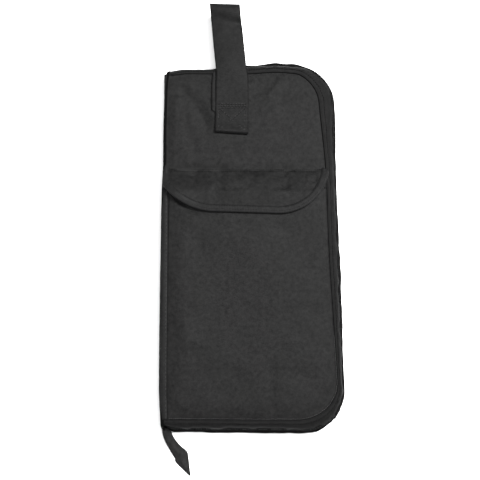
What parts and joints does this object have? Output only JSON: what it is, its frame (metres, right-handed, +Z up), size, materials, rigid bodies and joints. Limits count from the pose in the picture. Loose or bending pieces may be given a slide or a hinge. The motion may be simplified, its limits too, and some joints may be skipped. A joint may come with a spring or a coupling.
{
  "type": "drum stick bag",
  "caption": "Black padded drum stick bag, zipped closed, with a flapped pocket on its front, a sewn webbing handle loop and inside stick pockets; it opens like a book.",
  "frame": {"origin": "centre of the back panel's outer face, which the closed bag rests on", "axes": "+Z up through the bag's thickness towards the flapped pocket; +Y along the bag towards the handle; +X from the spine towards the zip side"},
  "size_m": [0.2276, 0.5922, 0.0387],
  "materials": {
    "shell_fabric": "woven polyester with a faint sheen",
    "binding_tape": "ribbed grosgrain tape",
    "lining_fabric": "thin smooth polyester",
    "foam_padding": "closed-cell",
    "webbing": "ribbed polypropylene webbing",
    "zip_tape": "knitted tape",
    "zip_coil": "satin",
    "zip_metal": "black lacquer",
    "hook_and_loop": "napped"
  },
  "bodies": {
    "back_half": {"back_panel": "shell_fabric", "back_foam": "foam_padding", "back_lining": "lining_fabric", "back_piping": "binding_tape", "back_gusset": "shell_fabric", "back_zip_tape": "zip_tape", "back_zip_coil": "zip_coil", "back_spine_binding": "binding_tape", "stick_pocket": "lining_fabric", "stick_pocket_hem": "binding_tape"},
    "spine": {"spine_panel": "shell_fabric", "spine_lining": "lining_fabric"},
    "front_half": {"front_panel": "shell_fabric", "front_foam": "foam_padding", "front_lining": "lining_fabric", "front_piping": "binding_tape", "front_gusset": "shell_fabric", "front_zip_tape": "zip_tape", "front_zip_coil": "zip_coil", "front_spine_binding": "binding_tape", "slip_pocket": "lining_fabric", "slip_pocket_hem": "binding_tape", "front_pocket": "shell_fabric", "front_pocket_hem": "binding_tape", "hook_patch": "hook_and_loop", "handle_sewn_ends": "webbing"},
    "pocket_flap": {"flap_panel": "shell_fabric", "flap_binding": "binding_tape", "loop_patch": "hook_and_loop"},
    "handle_loop": {"handle_webbing": "webbing"},
    "zip_slider": {"slider_body": "zip_metal", "slider_bail": "zip_metal"},
    "zip_pull": {"pull_tab": "zip_metal"},
    "zip_tail": {"tail_tape": "zip_tape"}
  },
  "joints": [
    {"name": "spine_fold", "type": "hinge", "parent": "back_half", "child": "spine", "pos_m": [-0.106, 0, 0.0058], "axis": [0, -1, 0], "range_deg": [0, 87]},
    {"name": "front_fold", "type": "hinge", "parent": "spine", "child": "front_half", "pos_m": [-0.106, 0, 0.0202], "axis": [0, -1, 0], "range_deg": [0, 87]},
    {"name": "flap_lift", "type": "hinge", "parent": "front_half", "child": "pocket_flap", "pos_m": [0, 0.094, 0.0283], "axis": [-1, 0, 0], "range_deg": [0, 150]},
    {"name": "handle_swing", "type": "hinge", "parent": "front_half", "child": "handle_loop", "pos_m": [-0.02, 0.1783, 0.02935], "axis": [1, 0, 0], "range_deg": [0, 120]},
    {"name": "slider_travel", "type": "slide", "parent": "back_half", "child": "zip_slider", "axis": [1, 0, 0], "range_m": [0, 0.066]},
    {"name": "pull_swing", "type": "hinge", "parent": "zip_slider", "child": "zip_pull", "pos_m": [-0.0288, 0.2328, 0.013], "axis": [0, 0, 1], "range_deg": [0, 170]},
    {"name": "tail_lift", "type": "hinge", "parent": "back_half", "child": "zip_tail", "pos_m": [-0.0935, -0.2313, 0.0084], "axis": [-1, 0, 0], "range_deg": [0, 90]}
  ],
  "couplings": [
    {"joint": "spine_fold", "follows": "front_fold", "ratio": 1}
  ]
}
